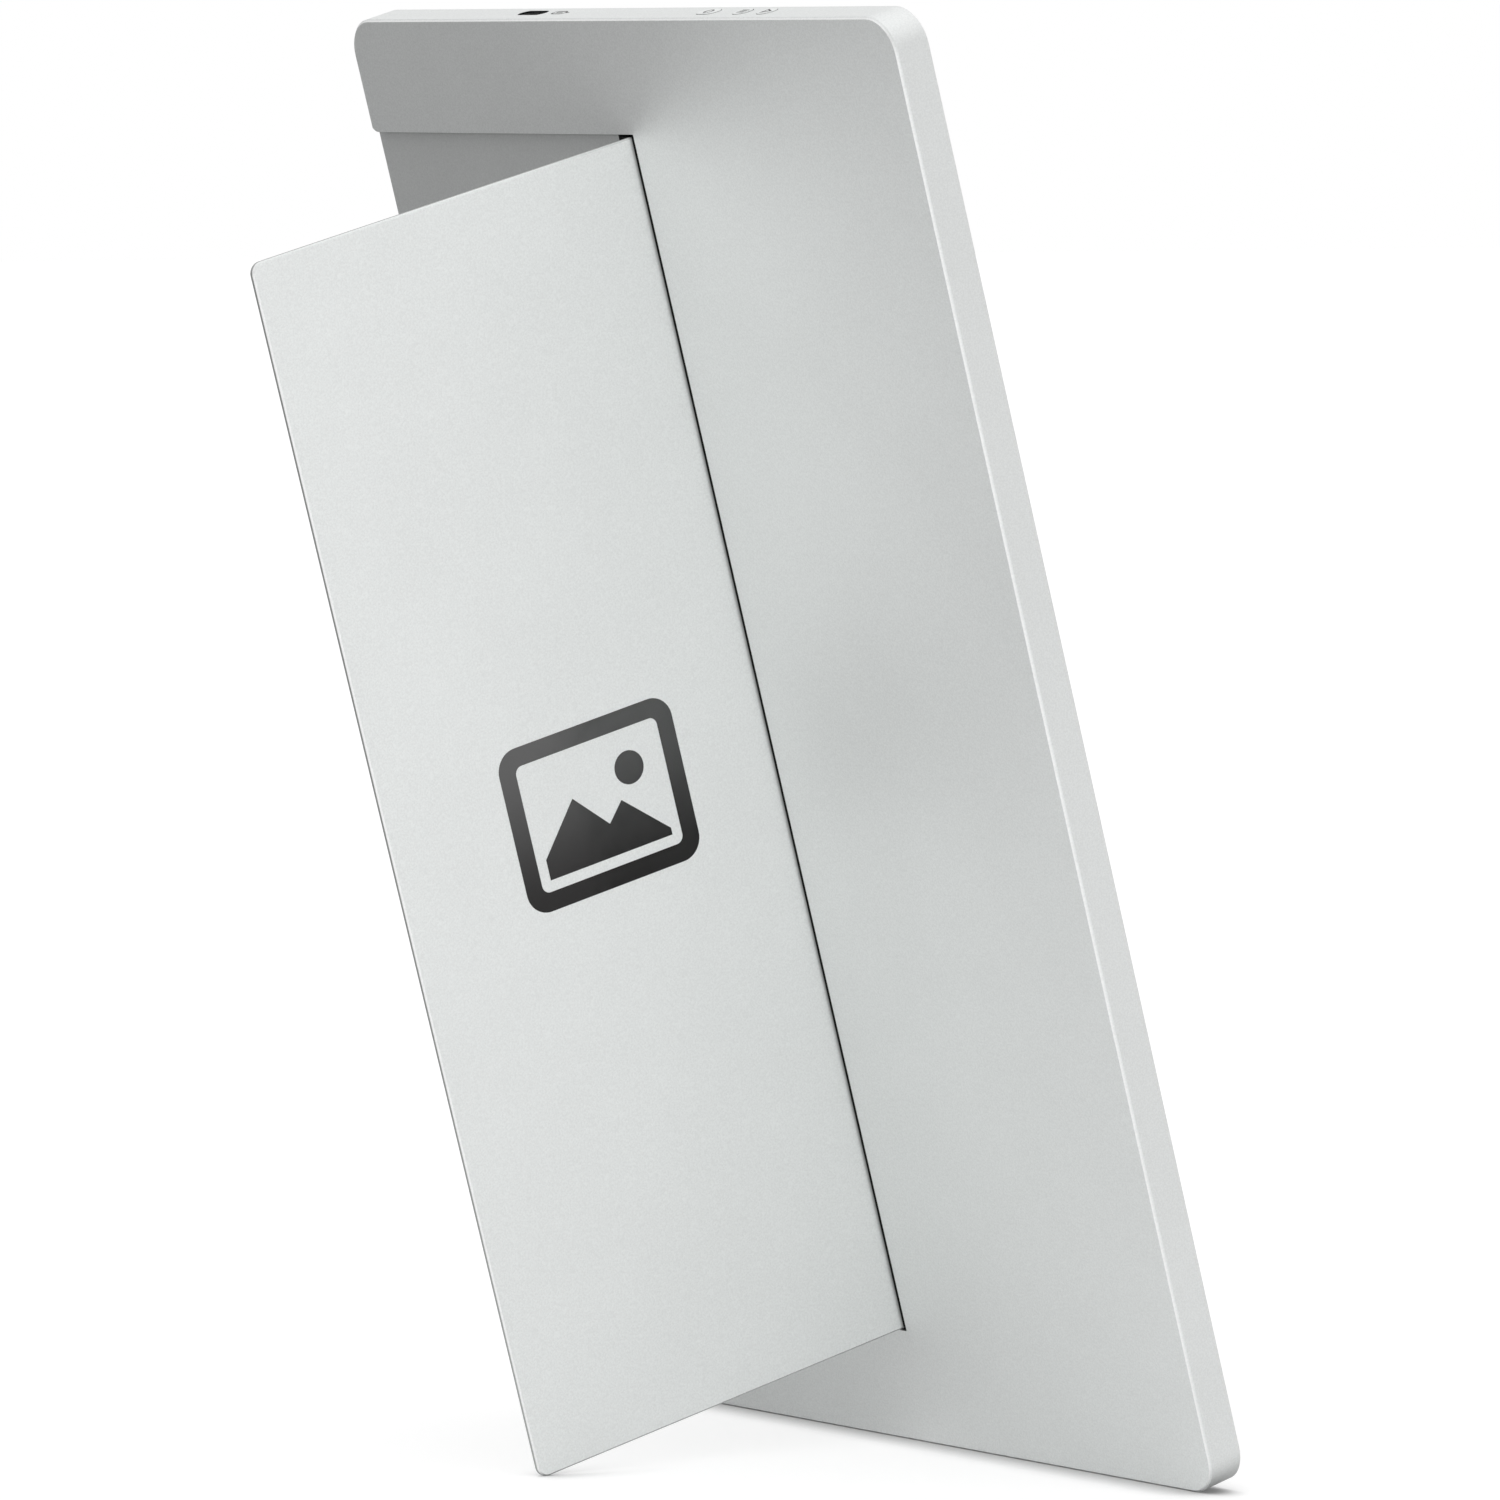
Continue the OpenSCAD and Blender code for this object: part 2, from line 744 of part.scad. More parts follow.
module friction_band(y) {
    r = track_out + track_gap;
    along_y(y - rocker_half, y + rocker_half)
        round_hinge_line() ring_part(r, r + band_t, band_angles[0], band_angles[1]);
}

module friction_band_upper() {
    color("peru") standing() friction_band(hinge_y[1]);
}

module friction_band_lower() {
    color("peru") standing() friction_band(hinge_y[0]);
}

module hinge_screws() {
    color("gray") standing() for (y = hinge_y, side = [-1, 1], x = hinge_screw_x)
        translate([x, y + side * ear_middle, base_z0]) {
            cylinder(r1 = hinge_head_r, r2 = screw_shank_r, h = countersink);
            cylinder(r = screw_shank_r, h = 3);
        }
}

// ---- Stand -------------------------------------------------------------------------------------

// A plain picture symbol: a frame, a sun and two hills. Its round walls can be drawn with a clearance.
module emblem_shapes(clearance) {
    c = clearance;
    w = emblem_w + 2 * c;
    h = emblem_h + 2 * c;
    line = emblem_line + 2 * c;
    outer_r = 5;
    inner_r = 1.8;
    sun = [9, 5.5];
    sun_r = 3.6;
    hills = [[0, 0], [0, 4.5], [9.5, 15], [17, 7], [21, 11], [31.2, 1.5], [31.2, 0]];
    gap = 2.4; // between the frame and the hills
    difference() {
        rounded_rect([-w / 2, -h / 2, w / 2, h / 2], outer_r + c);
        rounded_rect([line - w / 2, line - h / 2, w / 2 - line, h / 2 - line], inner_r - c);
    }
    translate(sun) circle(sun_r + c);
    translate([-w / 2 + line + gap - c, -h / 2 + line + gap - c]) polygon(hills);
}

module flap_plate() {
    c = flap_chamfer;
    r = flap_corner_r;
    t = flap_t;
    x0 = flap_x;
    y0 = flap_y0;
    y1 = flap_y1;
    along_y(y0 + r, y1 - r) polygon([[x0, -t], [axis_x, -t], [axis_x, 0], [x0 + c, 0], [x0, -c]]);
    translate([x0 + r, 0, 0]) rotate([90, 0, 90]) linear_extrude(axis_x - x0 - r)
        polygon([[y0, -t], [y1, -t], [y1, -c], [y1 - c, 0], [y0 + c, 0], [y0, -c]]);
    for (y = [y0 + r, y1 - r])
        translate([x0 + r, y, 0]) rotate_extrude()
            polygon([[0, -t], [r, -t], [r, -c], [r - c, 0], [0, 0]]);
}

module flap_fold() {
    fold_x1 = axis_x + axis_depth;
    along_y(flap_y0, flap_y1) {
        round_hinge_line() circle(axis_depth);
        translate([fold_x1 - flap_t, -fold_depth]) square([flap_t, fold_depth - axis_depth]);
        translate([fold_x1 - flap_t, -flap_t]) square([flap_t - axis_depth, flap_t]);
    }
}

module stand_flap() {
    fold_gap_half = base_half + 0.4; // the fold is cut away round each hinge
    color("lightgray") on_stand() difference() {
        union() {
            flap_plate();
            flap_fold();
        }
        for (y = hinge_y)
            block([axis_x - 1, y - fold_gap_half, -fold_depth - over],
                [axis_x + over, y + fold_gap_half, -flap_t]);
        for (y = hinge_y, side = [-1, 1], x = rivet_x)
            post([x, y + side * rivet_y], rivet_r + 0.02, [-flap_t - over, -flap_t + rivet_in]);
        translate([emblem_x, emblem_y, -inlay_t])
            linear_extrude(inlay_t + over) emblem_shapes(inlay_gap);
    }
}

module hinge_rocker(y) {
    difference() {
        union() {
            along_y(y - rocker_half, y + rocker_half) intersection() {
                round_hinge_line() ring_part(track_in, track_out, rocker_from, rocker_end);
                translate([leaf_x[0], -flap_t - 2 * track_out]) square([50, 2 * track_out]);
            }
            block([leaf_x[0], y - leaf_half, -flap_t - leaf_t], [leaf_x[1], y + leaf_half, -flap_t]);
        }
        for (side = [-1, 1], x = rivet_x)
            translate([x, y + side * rivet_y, -flap_t - leaf_t]) {
                cylinder(r1 = rivet_head_r + 0.02, r2 = rivet_r + 0.02, h = leaf_t);
                translate([0, 0, -over]) cylinder(r = rivet_r + 0.02, h = leaf_t + 2 * over);
            }
    }
}

module hinge_rocker_upper() {
    color("gray") on_stand() hinge_rocker(hinge_y[1]);
}

module hinge_rocker_lower() {
    color("gray") on_stand() hinge_rocker(hinge_y[0]);
}

module hinge_rivets() {
    color("lightgray") on_stand() for (y = hinge_y, side = [-1, 1], x = rivet_x)
        translate([x, y + side * rivet_y, -flap_t - leaf_t]) {
            cylinder(r1 = rivet_head_r, r2 = rivet_r, h = leaf_t);
            cylinder(r = rivet_r, h = leaf_t + rivet_in - touch);
        }
}

module emblem_inlay() {
    color("black") on_stand() translate([emblem_x, emblem_y, -inlay_t])
        linear_extrude(inlay_t + inlay_proud) emblem_shapes(0);
}

rear_shell();
cover_glass();
glass_tape();
mid_frame();
frame_screws();
lcd_cell();
prism_sheet();
diffuser_sheet();
light_guide();
reflector_sheet();
led_bar();
lcd_chassis();
lcd_driver_board();
driver_flexes();
display_cable();
insulation_film();
main_board();
board_chips();
board_connectors();
shield_can();
thermal_pad();
board_screws();
usb_c_shell();
usb_c_tongue();
button_board();
tact_switches();
button_cable();
power_button();
menu_button();
select_button();
power_plunger();
menu_plunger();
select_plunger();
hinge_base_upper();
hinge_base_lower();
friction_band_upper();
friction_band_lower();
hinge_screws();
stand_flap();
hinge_rocker_upper();
hinge_rocker_lower();
hinge_rivets();
emblem_inlay();
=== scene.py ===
import json
import math

import bpy
from mathutils import Matrix, Vector


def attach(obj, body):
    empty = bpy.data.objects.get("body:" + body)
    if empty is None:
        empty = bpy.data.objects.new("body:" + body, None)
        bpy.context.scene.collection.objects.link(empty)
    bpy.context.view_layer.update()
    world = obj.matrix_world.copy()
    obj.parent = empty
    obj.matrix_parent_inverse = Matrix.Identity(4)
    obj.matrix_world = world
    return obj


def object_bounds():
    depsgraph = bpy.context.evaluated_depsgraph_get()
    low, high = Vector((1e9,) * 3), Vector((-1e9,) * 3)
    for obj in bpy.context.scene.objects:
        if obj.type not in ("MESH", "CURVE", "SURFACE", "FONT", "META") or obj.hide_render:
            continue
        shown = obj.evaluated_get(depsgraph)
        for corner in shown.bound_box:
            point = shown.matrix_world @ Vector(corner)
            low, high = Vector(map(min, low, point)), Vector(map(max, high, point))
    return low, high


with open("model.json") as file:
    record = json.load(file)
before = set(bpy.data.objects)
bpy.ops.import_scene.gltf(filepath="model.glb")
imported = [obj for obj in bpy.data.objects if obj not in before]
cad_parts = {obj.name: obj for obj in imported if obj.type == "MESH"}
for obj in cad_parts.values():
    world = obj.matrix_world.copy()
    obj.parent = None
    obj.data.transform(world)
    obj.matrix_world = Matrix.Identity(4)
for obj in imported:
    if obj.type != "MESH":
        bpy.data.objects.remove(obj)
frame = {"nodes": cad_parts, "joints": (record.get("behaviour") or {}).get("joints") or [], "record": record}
cad_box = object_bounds()

MM = 0.001


# ---- The frame's own directions, from the hinge and the mounts ----------------------------------

mounts = {m["name"]: m for m in frame["record"]["mounts"]}
hinge = next(j for j in frame["joints"] if j["name"] == "stand_hinge")
HINGE_POINT = Vector(hinge["pos_m"])
OPEN_ANGLE = math.radians(-hinge["range_deg"][0])
UP = Vector(hinge["axis"]).normalized()
ACROSS = Vector((-1, 0, 0))
OUT = ACROSS.cross(UP)
FLAP_OUT = Matrix.Rotation(OPEN_ANGLE, 3, UP) @ OUT


def span(node, way):
    """Lowest and highest level of a CAD node along a direction, in metres."""
    levels = [v.co.dot(way) for v in frame["nodes"][node].data.vertices]
    return min(levels), max(levels)


def middle(node, way):
    """The level halfway through a CAD node along a direction."""
    return sum(span(node, way)) / 2


def slab_point(across, up, out):
    """The point at these levels along the slab's three directions."""
    return ACROSS * across + UP * up + OUT * out


BACK_LEVEL = span("rear_shell", OUT)[1]
TOP_LEVEL = span("rear_shell", UP)[1]
FLAP_LEVEL = span("stand_flap", FLAP_OUT)[1]
KEY_LEVEL = span("power_button", UP)[1]
FLAP_GAP = 0.58 * MM  # between the stand plate and each end of its recess
RECESS_TOP = span("stand_flap", UP)[1] + FLAP_GAP
RECESS_FOOT = span("stand_flap", UP)[0] - FLAP_GAP
HINGE_LEVEL = HINGE_POINT.dot(ACROSS)
GROOVE_START = HINGE_LEVEL - 6.7 * MM
GROOVE_END = HINGE_LEVEL + 1.3 * MM
EDGE = 0.05 * MM  # softness of a border between two tones
PICTURE_W = 165.2 * MM
PICTURE_H = 293.8 * MM


# ---- Camera -------------------------------------------------------------------------------------

CAMERA_AZIMUTH = 233.54
CAMERA_ELEVATION = 3.875
CAMERA_ROLL = 0.2
CAMERA_DISTANCE = 2.06
CAMERA_LENS = 235.24
CAMERA_AIM = Vector((-0.0152, -0.0204, 0.1534))


def add_camera():
    """The camera stands at an azimuth and an elevation, in degrees, and looks at its aim."""
    azimuth = math.radians(CAMERA_AZIMUTH)
    elevation = math.radians(CAMERA_ELEVATION)
    flat = math.cos(elevation)
    towards = Vector((math.sin(azimuth) * flat, -math.cos(azimuth) * flat, math.sin(elevation)))
    data = bpy.data.cameras.new("camera")
    data.lens = CAMERA_LENS
    data.sensor_width = 36
    data.clip_end = 50
    camera = bpy.data.objects.new("camera", data)
    level = (-towards).to_track_quat("-Z", "Y").to_matrix().to_4x4()
    rolled = level @ Matrix.Rotation(math.radians(CAMERA_ROLL), 4, "Z")
    camera.matrix_world = Matrix.Translation(CAMERA_AIM + towards * CAMERA_DISTANCE) @ rolled
    bpy.context.scene.collection.objects.link(camera)
    bpy.context.scene.camera = camera


# ---- Shader nodes that repeat -------------------------------------------------------------------

def add_node(tree, kind, inputs=None, **settings):
    """Adds a node, makes its settings, and fills its inputs: a socket is linked, and a value is set."""
    node = tree.nodes.new(kind)
    for name, value in settings.items():
        setattr(node, name, value)
    for key, value in (inputs or {}).items():
        if isinstance(value, bpy.types.NodeSocket):
            tree.links.new(value, node.inputs[key])
        else:
            node.inputs[key].default_value = value
    return node


def new_material(name):
    """An empty material, its node tree and its Principled shader, which is wired to the output."""
    material = bpy.data.materials.new(name)
    material.use_nodes = True
    tree = material.node_tree
    return material, tree, tree.nodes["Principled BSDF"]


def maths(tree, operation, *values):
    """One math node. Each value is a socket or a number."""
    return add_node(tree, "ShaderNodeMath", dict(enumerate(values)), operation=operation).outputs[0]


def product(tree, first, *others):
    """All the sockets multiplied together."""
    for other in others:
        first = maths(tree, "MULTIPLY", first, other)
    return first


def level_along(tree, vector, way):
    """How far a vector socket reaches along a direction."""
    inputs = {0: vector, 1: way}
    return add_node(tree, "ShaderNodeVectorMath", inputs, operation="DOT_PRODUCT").outputs["Value"]


def ramp(tree, value, start, end, low=0.0, high=1.0):
    """Goes smoothly from low, where the value is start, to high, where it is end."""
    inputs = {"Value": value, "From Min": start, "From Max": end, "To Min": low, "To Max": high}
    return add_node(tree, "ShaderNodeMapRange", inputs, interpolation_type="SMOOTHSTEP").outputs["Result"]


def inside(tree, value, low, high, edge):
    """1 between two levels and 0 outside them, over a soft edge."""
    above = ramp(tree, value, low - edge, low + edge)
    below = ramp(tree, value, high + edge, high - edge)
    return maths(tree, "MULTIPLY", above, below)


def varied(tree, pattern, low, high):
    """Noise, spread over the range from low to high."""
    return ramp(tree, pattern, 0.3, 0.7, low, high)


def noise(tree, place, size, detail=2.0, roughness=0.5):
    """Noise whose grains are about this size, in metres."""
    inputs = {"Vector": place, "Scale": 1 / size, "Detail": detail, "Roughness": roughness}
    return add_node(tree, "ShaderNodeTexNoise", inputs).outputs["Fac"]


def fixed_color(tree, color):
    """A socket that holds one colour."""
    node = add_node(tree, "ShaderNodeRGB")
    node.outputs[0].default_value = (*color, 1)
    return node.outputs[0]


def mixed(tree, share, first, second):
    """A colour between two others. Each is a socket or three numbers."""
    colors = {"Factor": share, "A": first, "B": second}
    inputs = {k: (*v, 1) if isinstance(v, tuple) else v for k, v in colors.items()}
    return add_node(tree, "ShaderNodeMix", inputs, data_type="RGBA").outputs["Result"]


def shaded(tree, color, share):
    """A colour socket, made darker by a share."""
    return add_node(tree, "ShaderNodeVectorMath", {0: color, "Scale": share}, operation="SCALE").outputs[0]


def add_bump(tree, shader, height, depth, strength):
    """Gives a shader the relief of a height socket, so many metres deep."""
    bump = add_node(tree, "ShaderNodeBump", {"Strength": strength, "Distance": depth, "Height": height})
    tree.links.new(bump.outputs["Normal"], shader.inputs["Normal"])


# ---- Stage and light ----------------------------------------------------------------------------

FLOOR_REACH = 12
FLOOR_TONE = (0.4, 0.4, 0.4, 1)
FLOOR_GLOW = 0.68
# Glow of the floor inside its painted contact shadow
CONTACT_SHADOW_GLOW = 0.1
CONTACT_REACH = 14 * MM
BOUNCE_BRIGHT = 0.97
BOUNCE_DARK = 0.22
BOUNCE_START = -0.01
BOUNCE_END = 0.25
LIGHT_BASE = 0.28
LIGHT_SIDE = 0.14
LIGHT_TOP = 1.05
LIGHT_WAY = Vector((-0.90, -0.42, 0.10)).normalized()
PANELS = [
    # name, place and aim from the object's middle in metres, size in metres, power in watts
    ("side_panel", (-1.05, -0.52, 0.55), (0, 0, 0.3), (1.8, 1.5), 0.3),
    ("top_panel", (0.9, -0.9, 1.3), (0, 0, 0), (1.6, 1.2), 0.3),
    ("floor_panel", (-0.9, 0.8, 1.1), (-0.5, 0.4, -0.15), (1.2, 1.2), 1.6),
]


def add_floor():
    """A pale floor with a painted shadow at each contact, that throws most light up from its -X side."""
    far = FLOOR_REACH
    mesh = bpy.data.meshes.new("floor")
    corners = [(-far, -far, 0), (far, -far, 0), (far, far, 0), (-far, far, 0)]
    mesh.from_pydata(corners, [], [(0, 1, 2, 3)])
    floor = bpy.data.objects.new("floor", mesh)
    bpy.context.scene.collection.objects.link(floor)
    material, tree, shader = new_material("floor")
    place = add_node(tree, "ShaderNodeTexCoord").outputs["Object"]
    away = level_along(tree, place, Vector((1, 0, 0)))
    bounce = ramp(tree, away, BOUNCE_START, BOUNCE_END, BOUNCE_BRIGHT, BOUNCE_DARK)
    thrown = add_node(tree, "ShaderNodeBsdfDiffuse", {"Color": bounce}).outputs[0]
    pale = add_node(tree, "ShaderNodeBsdfDiffuse", {"Color": FLOOR_TONE}).outputs[0]
    # Painted contact shadow: ambient occlusion dims the floor's glow next to the object
    contact = add_node(tree, "ShaderNodeAmbientOcclusion", {"Distance": CONTACT_REACH}).outputs["AO"]
    shine = ramp(tree, contact, 0.2, 0.95, CONTACT_SHADOW_GLOW, FLOOR_GLOW)
    glow = add_node(tree, "ShaderNodeEmission", {"Strength": shine}).outputs[0]
    seen = add_node(tree, "ShaderNodeAddShader", {0: pale, 1: glow}).outputs[0]
    path = add_node(tree, "ShaderNodeLightPath").outputs["Is Camera Ray"]
    both = add_node(tree, "ShaderNodeMixShader", {0: path, 1: thrown, 2: seen}).outputs[0]
    tree.links.new(both, tree.nodes["Material Output"].inputs["Surface"])
    tree.nodes.remove(shader)
    mesh.materials.append(material)


def add_world():
    """White behind the object, and a soft wrap of light that is brightest from one side and above."""
    world = bpy.data.worlds.new("world")
    world.use_nodes = True
    tree = world.node_tree
    way = add_node(tree, "ShaderNodeTexCoord").outputs["Generated"]
    side = maths(tree, "MAXIMUM", level_along(tree, way, LIGHT_WAY), 0.0)
    above = maths(tree, "MAXIMUM", level_along(tree, way, Vector((0, 0, 1))), 0.0)
    wrap = maths(tree, "MULTIPLY_ADD", above, LIGHT_TOP, LIGHT_BASE)
    wrap = maths(tree, "MULTIPLY_ADD", side, LIGHT_SIDE, wrap)
    path = add_node(tree, "ShaderNodeLightPath").outputs["Is Camera Ray"]
    strength = add_node(tree, "ShaderNodeMix", {"Factor": path, "A": wrap, "B": 1.0}).outputs["Result"]
    background = tree.nodes["Background"]
    background.inputs["Color"].default_value = (1, 1, 1, 1)
    tree.links.new(strength, background.inputs["Strength"])
    bpy.context.scene.world = world


def add_panel(name, offset, aim, size, power):
    """A soft light panel, placed and aimed from the object's middle. Its power is in watts."""
    centre = (cad_box[0] + cad_box[1]) / 2
    data = bpy.data.lights.new(name, "AREA")
    data.shape = "RECTANGLE"
    data.size, data.size_y = size
    data.energy = power
    light = bpy.data.objects.new(name, data)
    towards = Vector(aim) - Vector(offset)
    turn = towards.to_track_quat("-Z", "Y").to_matrix().to_4x4()
    light.matrix_world = Matrix.Translation(centre + Vector(offset)) @ turn
    light.visible_camera = False
    bpy.context.scene.collection.objects.link(light)


def add_stage():
    """The floor, the world and the light panels."""
    add_floor()
    add_world()
    for name, offset, aim, size, power in PANELS:
        add_panel(name, offset, aim, size, power)
    bpy.context.scene.view_settings.view_transform = "Standard"


# ---- Metal --------------------------------------------------------------------------------------

SHELL_SILVER = (0.878, 0.893, 0.888)
# Lighter than the shell's silver: partly a finish of its own, partly painted light
STAND_SILVER_PAINTED_LIGHTER = (0.942, 0.958, 0.952)
# Colour of the polished chamfers, painted lighter as a highlight
POLISH_AND_HIGHLIGHT = (0.985, 0.99, 0.99)
# Painted shade on faces that look down
UNDERSIDE_PAINTED_SHADE = 0.55
# Painted shade on the dull chamfers at the stand plate's ends
DULL_CHAMFER_PAINTED_SHADE = 0.86
# Painted shade on the walls of the shell and of the stand plate
SHELL_WALL_PAINTED_SHADE = 0.935
STAND_WALL_PAINTED_SHADE = 0.55
# Painted shade on the recess floor, and a darker painted shadow under its top edge
RECESS_PAINTED_SHADE = 0.88
RECESS_EDGE_PAINTED_SHADOW = 0.5
# Painted shade where the stand plate rolls into the hinge gap, and near black in the gap
ROLL_PAINTED_SHADE = 0.7
GAP_PAINTED_SHADE = 0.06
# Near black painted where there is only shade: in the groove, the openings and on the keys below the top end
PAINTED_SHADE_BLACK = (0.012, 0.012, 0.013)
GRAIN = 0.42 * MM
CLOUD = 34 * MM
SATIN_ROUGHNESS = 0.6
POLISHED_GLOSS = 0.25
SATIN_METALLIC = 0.86
POLISHED_METALLIC = 0.5
POLISH_DEPTH = 0.16 * MM
POLISH_AT_WALL = 0.2
CHAMFER_FACING = math.cos(math.radians(45))
CHAMFER_BAND = 0.08
OPENING_REACH = 2.6 * MM


def satin_grain(tree, place):
    """The fine grain of a bead-blasted face, and how much the tone wanders over a hand's width."""
    grain = noise(tree, place, GRAIN, 3.0, 0.7)
    cloud = noise(tree, place, CLOUD)
    fine = varied(tree, grain, 0.90, 1.0)
    wide = varied(tree, cloud, 0.985, 1.0)
    tone = maths(tree, "MULTIPLY", fine, wide)
    return grain, tone


def satin_metal(name, face_level, out_way, silver, wall_painted_shade, ends):
    """Blasted, anodised aluminium round the face that looks out_way. Its walls and the faces that look
    down get painted shade.

    The chamfers round the face are polished and painted lighter as a highlight, most of all next to
    it. Those at the two ends are too where ends is 1, and are dull and painted a shade darker where
    it is 0.
    """
    material, tree, shader = new_material(name)
    coordinates = add_node(tree, "ShaderNodeTexCoord")
    place = coordinates.outputs["Object"]
    grain, tone = satin_grain(tree, place)
    facing = level_along(tree, coordinates.outputs["Normal"], out_way)
    upright = level_along(tree, coordinates.outputs["Normal"], UP)
    chamfer = inside(tree, facing, CHAMFER_FACING - CHAMFER_BAND, CHAMFER_FACING + CHAMFER_BAND, 0.03)
    polish = ramp(tree, maths(tree, "ABSOLUTE", upright), 0.35, 0.6, 1.0, ends)
    # Chamfers left dull get a painted shade
    dull = maths(tree, "MULTIPLY", chamfer, maths(tree, "SUBTRACT", 1.0, polish))
    # The polish and its painted highlight fade with depth below the face
    below = maths(tree, "SUBTRACT", face_level, level_along(tree, place, out_way))
    fade = ramp(tree, below, POLISH_DEPTH, 2 * POLISH_DEPTH, 1.0, POLISH_AT_WALL)
    chamfer = product(tree, chamfer, polish, fade)
    # Painted shade: faces turned away from out_way are darkened
    painted_wall_shade = ramp(tree, maths(tree, "ABSOLUTE", facing), 0.5, 0.35, 1.0, wall_painted_shade)
    # Painted shade: faces that look down are darkened
    painted_underside_shade = ramp(tree, upright, 0.0, -0.9, 1.0, UNDERSIDE_PAINTED_SHADE)
    shade = product(tree, tone, painted_wall_shade, painted_underside_shade, ramp(tree, dull, 0.0, 1.0, 1.0, DULL_CHAMFER_PAINTED_SHADE))
    # Painted highlight: polished chamfers take a lighter colour
    color = shaded(tree, mixed(tree, chamfer, silver, POLISH_AND_HIGHLIGHT), shade)
    speckle = varied(tree, grain, SATIN_ROUGHNESS - 0.04, SATIN_ROUGHNESS + 0.04)
    roughness = maths(tree, "MULTIPLY_ADD", chamfer, -POLISHED_GLOSS, speckle)
    metallic = ramp(tree, chamfer, 0.0, 1.0, SATIN_METALLIC, POLISHED_METALLIC)
    tree.links.new(metallic, shader.inputs["Metallic"])
    tree.links.new(roughness, shader.inputs["Roughness"])
    add_bump(tree, shader, grain, 0.02 * MM, 0.12)
    return material, tree, shader, place, color


def openings(tree, across, up, out):
    """1 down in the shell's key holes and its inlet slot, and 0 elsewhere."""
    below = ramp(tree, up, TOP_LEVEL - 0.02 * MM, TOP_LEVEL - 0.12 * MM)
    first, last = span("power_button", ACROSS)[0], span("select_button", ACROSS)[1]
    keys = inside(tree, across, first, last, 2 * EDGE)
    inlet = inside(tree, across, *span("usb_c_shell", ACROSS), 2 * EDGE)
    centre = middle("power_button", OUT)
    near = inside(tree, out, centre - OPENING_REACH, centre + OPENING_REACH, 2 * EDGE)
    return product(tree, maths(tree, "MAXIMUM", keys, inlet), near, below)


def shell_metal():
    """The shell's metal: painted shade on the recess floor, black painted shade in groove and openings."""
    material, tree, shader, place, color = satin_metal(
        "shell_aluminium", BACK_LEVEL, OUT, SHELL_SILVER, SHELL_WALL_PAINTED_SHADE, 1.0)
    across = level_along(tree, place, ACROSS)
    up = level_along(tree, place, UP)
    out = level_along(tree, place, OUT)
    sunk = ramp(tree, out, BACK_LEVEL - 0.45 * MM, BACK_LEVEL - 0.75 * MM)
    along = inside(tree, up, RECESS_FOOT - 2 * EDGE, RECESS_TOP + 2 * EDGE, EDGE)
    along = maths(tree, "MULTIPLY", along, sunk)
    groove = maths(tree, "MULTIPLY", inside(tree, across, GROOVE_START, GROOVE_END, EDGE), along)
    before = ramp(tree, across, GROOVE_START, GROOVE_START - 2 * EDGE)
    recess = maths(tree, "MULTIPLY", before, along)
    # Painted shadow under the recess's top edge, and painted shade over the rest of its floor
    painted_shadow_under_edge = ramp(tree, up, RECESS_TOP - 1.0 * MM, RECESS_TOP, RECESS_PAINTED_SHADE, RECESS_EDGE_PAINTED_SHADOW)
    shades = {"Factor": recess, "A": 1.0, "B": painted_shadow_under_edge}
    shade = add_node(tree, "ShaderNodeMix", shades).outputs["Result"]
    # Painted shade: the groove and the openings are painted near black
    painted_shade_mask = maths(tree, "MAXIMUM", groove, openings(tree, across, up, out))
    color = mixed(tree, painted_shade_mask, shaded(tree, color, shade), PAINTED_SHADE_BLACK)
    tree.links.new(color, shader.inputs["Base Color"])
    return material


def stand_metal():
    """The stand plate's metal, with painted shade where it rolls into the hinge gap and in the gap."""
    material, tree, shader, place, color = satin_metal(
        "stand_aluminium", FLAP_LEVEL, FLAP_OUT, STAND_SILVER_PAINTED_LIGHTER, STAND_WALL_PAINTED_SHADE, 0.0)
    out = level_along(tree, place, OUT)
    # Painted shade toward the hinge gap, and near black in the gap itself
    painted_roll_shade = ramp(tree, out, BACK_LEVEL + 0.9 * MM, BACK_LEVEL + 0.2 * MM, 1.0, ROLL_PAINTED_SHADE)
    gap = ramp(tree, out, BACK_LEVEL + 0.16 * MM, BACK_LEVEL - 0.04 * MM, 1.0, GAP_PAINTED_SHADE)
    color = shaded(tree, color, maths(tree, "MULTIPLY", painted_roll_shade, gap))
    tree.links.new(color, shader.inputs["Base Color"])
    return material


def key_metal():
    """The keys' metal, which is in shadow below the face of the top end."""
    material, tree, shader, place, color = satin_metal(
        "key_aluminium", KEY_LEVEL, UP, SHELL_SILVER, 1.0, 1.0)
    below = ramp(tree, level_along(tree, place, UP), TOP_LEVEL + 0.06 * MM, TOP_LEVEL - 0.06 * MM)
    tree.links.new(mixed(tree, below, color, PAINTED_SHADE_BLACK), shader.inputs["Base Color"])
    return material


# Painted reflection: the inlay is lighter at its head than at its foot
INLAY_FOOT_PAINTED_REFLECTION = (0.035, 0.034, 0.034)
INLAY_HEAD_PAINTED_REFLECTION = (0.125, 0.125, 0.125)


def dark_mirror():
    """Polished dark inlay with a painted reflection that fades down its height, and faint swirl marks."""
    material, tree, shader = new_material("dark_mirror")
    place = add_node(tree, "ShaderNodeTexCoord").outputs["Object"]
    low, high = span("emblem_inlay", UP)
    # Painted reflection, lighter towards the head
    fade = ramp(tree, level_along(tree, place, UP), low, high)
    streak = noise(tree, place, 6 * MM, 3.0)
    color = mixed(tree, fade, INLAY_FOOT_PAINTED_REFLECTION, INLAY_HEAD_PAINTED_REFLECTION)
    color = shaded(tree, color, varied(tree, streak, 0.94, 1.0))
    tree.links.new(color, shader.inputs["Base Color"])
    tree.links.new(varied(tree, streak, 0.10, 0.18), shader.inputs["Roughness"])
    shader.inputs["Metallic"].default_value = 1.0
    return material


